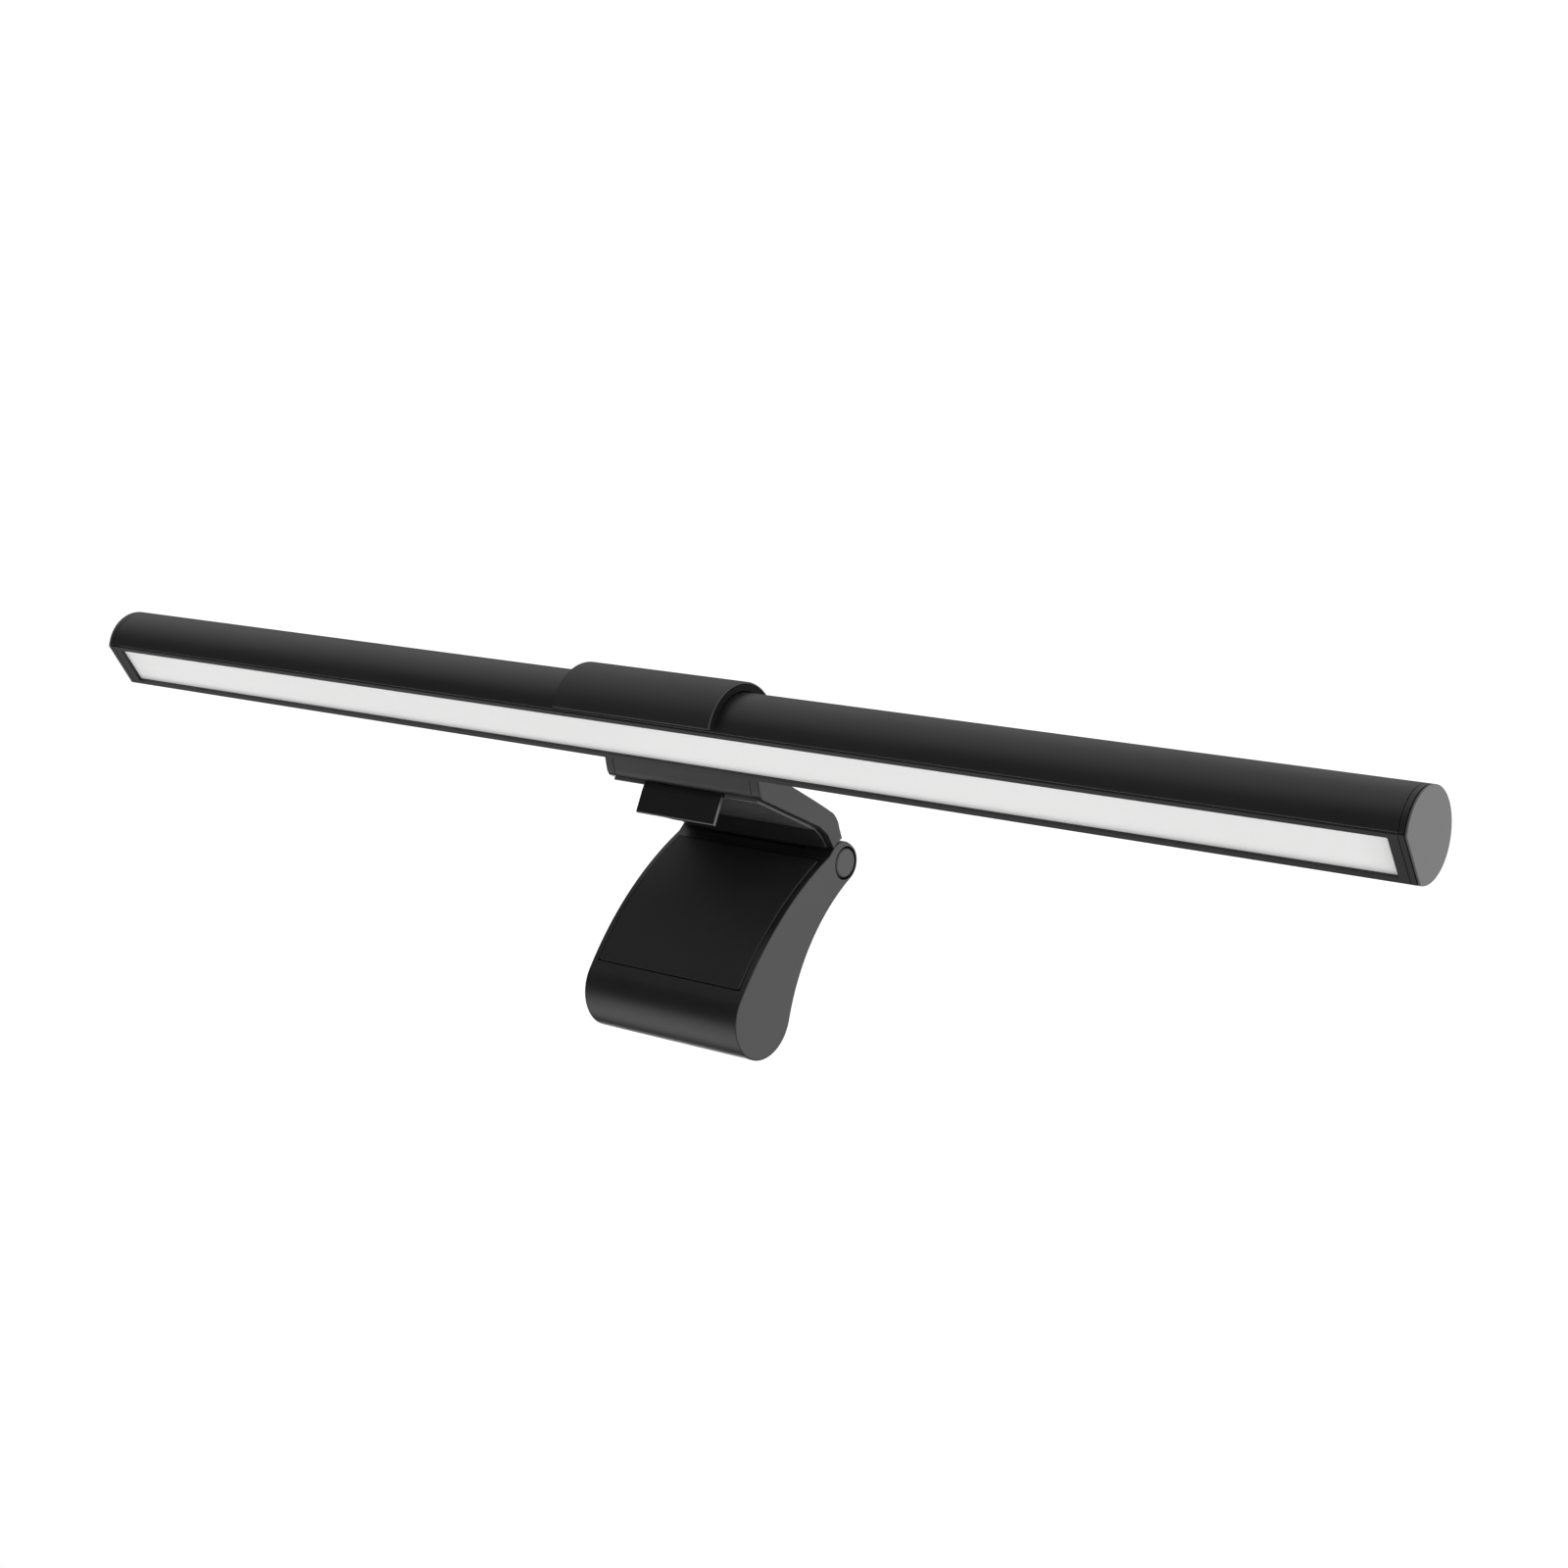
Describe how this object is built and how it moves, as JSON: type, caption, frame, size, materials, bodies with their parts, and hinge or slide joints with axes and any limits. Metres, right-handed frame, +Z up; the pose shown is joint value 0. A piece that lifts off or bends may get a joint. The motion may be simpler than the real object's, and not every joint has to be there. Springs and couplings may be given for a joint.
{
  "type": "clip-on screen light bar",
  "caption": "Slim tube lamp with a flat light face, held in a saddle on a clip that hooks over the top of a screen; the lamp tilts and a sprung, weighted arm grips the screen's back.",
  "frame": {"origin": "on the flat underside of the clip's rest plate, midway along the bar, 8.1 mm behind the hook's inner face: the point that sits on the top edge of a screen", "axes": "+X along the bar, -Y towards the person at the desk, +Z up"},
  "size_m": [0.448, 0.0796, 0.0947],
  "materials": {
    "tube_black": "satin black anodised extrusion",
    "shell_black": "fine matt black moulding",
    "saddle_black": "satin black moulding",
    "cap_grey": "matt dark grey moulding",
    "gloss_black": "polished black",
    "pad_rubber": "matt black silicone rubber",
    "liner_rubber": "matt black friction lining",
    "diffuser_white": "translucent white, frosted",
    "reflector_white": "white reflective film",
    "board_white": "white solder mask on a metal core",
    "board_green": "green solder mask",
    "bare_aluminium": "bare extrusion",
    "steel": "bright zinc plated steel",
    "cast_metal": "as-cast metal",
    "nylon_white": "natural nylon",
    "lead_red": "insulated wire",
    "lead_black": "insulated wire"
  },
  "bodies": {
    "bracket": {"saddle_shell": "saddle_black", "saddle_liner": "liner_rubber", "saddle_screw_left": "steel", "saddle_screw_right": "steel", "neck_housing": "shell_black", "hinge_core": "cast_metal", "core_screw_left_1": "steel", "core_screw_left_2": "steel", "core_screw_right_1": "steel", "core_screw_right_2": "steel", "screen_hook": "gloss_black", "rest_plate": "gloss_black", "hinge_washer_left": "nylon_white", "hinge_washer_right": "nylon_white", "torsion_spring": "steel"},
    "light_head": {"tube_housing": "tube_black", "bezel_frame": "shell_black", "diffuser": "diffuser_white", "reflector": "reflector_white", "led_board": "board_white", "led_carrier": "bare_aluminium", "driver_board": "board_green", "usb_c_inlet": "steel", "inlet_surround": "shell_black", "end_ring_left": "tube_black", "end_ring_right": "tube_black", "end_plate_left": "cap_grey", "end_plate_right": "cap_grey", "end_screw_left_1": "steel", "end_screw_left_2": "steel", "end_screw_right_1": "steel", "end_screw_right_2": "steel", "touch_board": "board_green", "tilt_stop_pin": "steel", "lead_negative": "lead_black", "lead_positive": "lead_red", "touch_lead": "lead_black"},
    "arm": {"arm_shell": "shell_black", "arm_front_plate": "shell_black", "screen_pad": "pad_rubber", "counterweight": "cast_metal", "arm_screw_left_1": "steel", "arm_screw_left_2": "steel", "arm_screw_right_1": "steel", "arm_screw_right_2": "steel", "hinge_pin": "steel", "pin_cap_left": "cap_grey", "pin_cap_right": "cap_grey"}
  },
  "joints": [
    {"name": "bar_tilt", "type": "hinge", "parent": "bracket", "child": "light_head", "pos_m": [0, -0.026, 0.0145], "axis": [1, 0, 0], "range_deg": [-5, 30]},
    {"name": "arm_swing", "type": "hinge", "parent": "bracket", "child": "arm", "pos_m": [0, 0.0339, -0.0052], "axis": [1, 0, 0], "range_deg": [0, 75], "stiffness_Nm_per_rad": 0.08, "springref_deg": -68.75}
  ]
}
